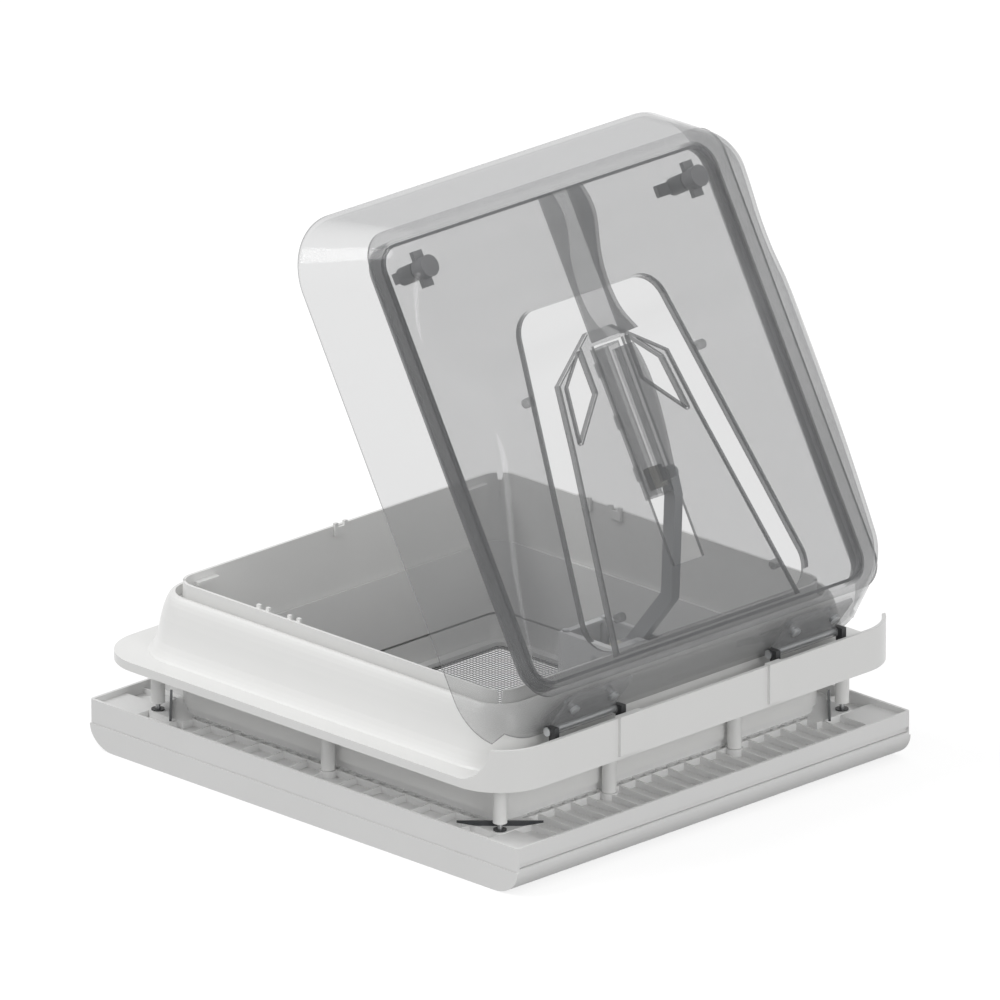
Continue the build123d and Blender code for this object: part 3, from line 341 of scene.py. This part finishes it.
def crownHeight(x):
    # smooth curve through the heights of the top: a cubic Hermite spline whose slopes are finite differences
    px, pz = np.array(domeSize["crownX"]), np.array(domeSize["crownZ"])
    slope = np.gradient(pz, px)
    i = np.clip(np.searchsorted(px, x) - 1, 0, len(px) - 2)
    h = px[i + 1] - px[i]
    t = np.clip((x - px[i]) / h, 0, 1)
    return ((2 * t ** 3 - 3 * t ** 2 + 1) * pz[i] + (t ** 3 - 2 * t ** 2 + t) * h * slope[i]
            + (-2 * t ** 3 + 3 * t ** 2) * pz[i + 1] + (t ** 3 - t ** 2) * h * slope[i + 1])


def makeDome():
    # a wall point at height z has come in by slope times its rise over the rim, and by the steeper slope
    # over the shoulder; the wall and the top profile meet in a soft minimum, so the creases are round; the
    # rings inside the wall shrink to one point, with wall heights past the top so that the profile alone
    # counts; the corners close up more slowly than the solid's do, so they are rounder
    s = domeSize

    def lean(z, slope):
        over = s["shoulderSoft"] * np.logaddexp(0, (z - s["shoulderZ"]) / s["shoulderSoft"])
        return slope * (z - s["rimZ"]) + (s["slopeTop"] - slope) * over

    base = ringPoints(s["halfX"], s["halfY"], s["corner"], s["straight"], s["arc"])
    nearHinge = (base[:, 0] > s["reliefFrom"]) & (np.abs(base[:, 1]) < s["reliefHalf"])
    firstZ = np.where(nearHinge, s["reliefZ"], s["rimZ"])
    steps = np.linspace(0, 1, s["up"])
    rings = []
    even = s["evenShare"]
    for t in even * steps + (1 - even) * (1 - (1 - steps) ** 2):
        z = firstZ + (s["topZ"] - firstZ) * t
        nearXy = [ringPoints(s["halfX"] - lean(h, s["slopeX"]), s["halfY"] - lean(h, s["slopeY"]),
                             s["corner"] - s["cornerShare"] * lean(h, s["slopeX"]), s["straight"], s["arc"])
                  for h in (z.min(), z.max())]
        xy = np.where((z < z.max())[:, None], nearXy[0], nearXy[1])
        rings.append(np.concatenate([xy, z[:, None]], axis=-1))
    edge = rings[-1][:, :2]
    for t in np.linspace(0, 1, s["across"] + 1)[1:-1]:
        wallZ = np.full((len(edge), 1), s["topZ"] + t * s["topZ"])
        rings.append(np.concatenate([edge * (1 - t), wallZ], axis=-1))
    pole = np.array([[[0.0, 0.0, 2 * s["topZ"]]]])

    def settle(points):
        x, y, wallZ = points[..., 0] + s["centreX"], points[..., 1], points[..., 2]
        soft = np.interp(x, s["softX"], s["softZ"])
        z = wallZ - soft * np.logaddexp(0, (wallZ - crownHeight(x)) / soft)
        return openLid(np.stack([x, y, z], axis=-1))

    mesh = domeMesh("domeShell", settle(np.array(rings)), settle(pole)[0, 0])
    piece = addPiece("domeShell", mesh, "clear_dome", "lid", "dome_cover")
    solid = piece.modifiers.new("wall", "SOLIDIFY")
    solid.thickness, solid.offset = s["wall"], -1


makeDome()
print("dome made")

netSize = {"half": 0.171, "z": -0.07875, "pitch": 0.0036, "yarn": 0.00045, "thick": 0.0003, "lift": 0.0001,
           "cupX": [0.1318, 0.1722], "cupY": 0.021}


def makeNet():
    # two sets of flat yarns over the square, each a thin strip of one quad, left out over the crank cup
    s = netSize
    lines = np.arange(-s["half"] + s["pitch"] / 2, s["half"], s["pitch"])
    strips = []
    for turned in (0, 1):
        for at in lines:
            spans = [(-s["half"], s["half"])]
            if not turned and abs(at) < s["cupY"]:
                spans = [(-s["half"], s["cupX"][0])]
            if turned and s["cupX"][0] < at < s["cupX"][1]:
                spans = [(-s["half"], -s["cupY"]), (s["cupY"], s["half"])]
            strips += [(turned, at, a, b) for a, b in spans]
    turned, at, a, b = np.array(strips).T
    low, high = at - s["yarn"] / 2, at + s["yarn"] / 2
    corners = np.stack([np.stack(pair, -1) for pair in ((a, low), (b, low), (b, high), (a, high))], 1)
    corners = np.where(turned[:, None, None] == 1, corners[..., ::-1], corners)
    z = (s["z"] + s["lift"] * turned)[:, None, None] * np.ones((1, 4, 1))
    points = np.concatenate([corners, z], axis=-1)
    points[turned == 1] = points[turned == 1][:, ::-1]
    mesh = bpy.data.meshes.new("netMesh")
    mesh.from_pydata(points.reshape(-1, 3).tolist(), [], np.arange(len(points) * 4).reshape(-1, 4).tolist())
    piece = addPiece("insectNet", mesh, "net", "roof_frame", "fly_screen")
    solid = piece.modifiers.new("yarn", "SOLIDIFY")
    solid.thickness, solid.offset = s["thick"], 0


makeNet()
print("net made")

stageSize = {"floorZ": -0.0816, "floorHalf": 9.0, "floorLit": 0.26, "floorGlow": 0.80, "floorRough": 0.9,
             "worldLight": 0.76, "worldSeen": 1.0,
             "suns": {"keySun": (1.00, (-0.45, -0.55, 0.85)), "fillSun": (0.70, (0.9, -0.25, 0.30))},
             "sunAngle": 25}


def seenRays(tree, kinds):
    # one where a ray is of any of these kinds
    path = tree.nodes.new("ShaderNodeLightPath")
    total = path.outputs[kinds[0]]
    for kind in kinds[1:]:
        total = mathNode(tree, "MAXIMUM", total, path.outputs[kind])
    return total


def makeStage():
    # the floor is lit a little, so that it keeps the shadow, and glows the rest of the way to white for the
    # camera, for gloss and through clear plastic; from below it is clear, so that the underside shows
    s = stageSize
    h, z = s["floorHalf"], s["floorZ"]
    mesh = bpy.data.meshes.new("floorMesh")
    mesh.from_pydata([(-h, -h, z), (h, -h, z), (h, h, z), (-h, h, z)], [], [(0, 1, 2, 3)])
    floor = bpy.data.objects.new("floor", mesh)
    bpy.context.scene.collection.objects.link(floor)
    pale = bpy.data.materials.new("paleFloor")
    pale.use_nodes = True
    skin = pale.node_tree.nodes["Principled BSDF"]
    skin.inputs["Base Color"].default_value = (s["floorLit"], s["floorLit"], s["floorLit"], 1)
    skin.inputs["Roughness"].default_value = s["floorRough"]
    skin.inputs["Specular IOR Level"].default_value = 0
    skin.inputs["Emission Color"].default_value = (1, 1, 1, 1)
    seen = seenRays(pale.node_tree, ["Is Camera Ray", "Is Glossy Ray", "Is Transmission Ray"])
    glow = mathNode(pale.node_tree, "MULTIPLY", seen, s["floorGlow"])
    pale.node_tree.links.new(glow, skin.inputs["Emission Strength"])
    fromBelow = pale.node_tree.nodes.new("ShaderNodeNewGeometry").outputs["Backfacing"]
    pale.node_tree.links.new(mathNode(pale.node_tree, "SUBTRACT", 1, fromBelow), skin.inputs["Alpha"])
    floor.data.materials.append(pale)
    world = bpy.data.worlds.new("paleRoom")
    bpy.context.scene.world = world
    world.use_nodes = True
    back = world.node_tree.nodes["Background"]
    back.inputs["Color"].default_value = (1, 1, 1, 1)
    seen = seenRays(world.node_tree, ["Is Camera Ray", "Is Transmission Ray"])
    strength = spreadNode(world.node_tree, seen, s["worldLight"], s["worldSeen"])
    world.node_tree.links.new(strength, back.inputs["Strength"])
    for name, (power, origin) in s["suns"].items():
        light = bpy.data.lights.new(name, "SUN")
        light.energy, light.angle = power, math.radians(s["sunAngle"])
        lamp = bpy.data.objects.new(name, light)
        bpy.context.scene.collection.objects.link(lamp)
        lamp.rotation_euler = Vector(origin).to_track_quat("Z", "Y").to_euler()


makeStage()
print("stage made")

cameraSize = {"lens": 1000.0, "sensor": 36.0, "frameWidth": 0.80, "azimuth": 45.0, "elevation": 20.0,
              "aim": (-0.006, 0.006, 0.131), "near": 1.0, "far": 100.0}


def makeCamera():
    # a very long lens from the photograph's corner; the frame width fixes the distance
    s = cameraSize
    a, e = math.radians(s["azimuth"]), math.radians(s["elevation"])
    back = Vector((math.sin(a) * math.cos(e), -math.cos(a) * math.cos(e), math.sin(e)))
    data = bpy.data.cameras.new("camera")
    data.lens, data.sensor_width = s["lens"], s["sensor"]
    data.clip_start, data.clip_end = s["near"], s["far"]
    camera = bpy.data.objects.new("camera", data)
    bpy.context.scene.collection.objects.link(camera)
    camera.location = Vector(s["aim"]) + back * (s["frameWidth"] * s["lens"] / s["sensor"])
    camera.rotation_euler = back.to_track_quat("Z", "Y").to_euler()
    bpy.context.scene.camera = camera


makeCamera()
bpy.context.scene.view_settings.view_transform = "Standard"
print("camera and sizes ready")
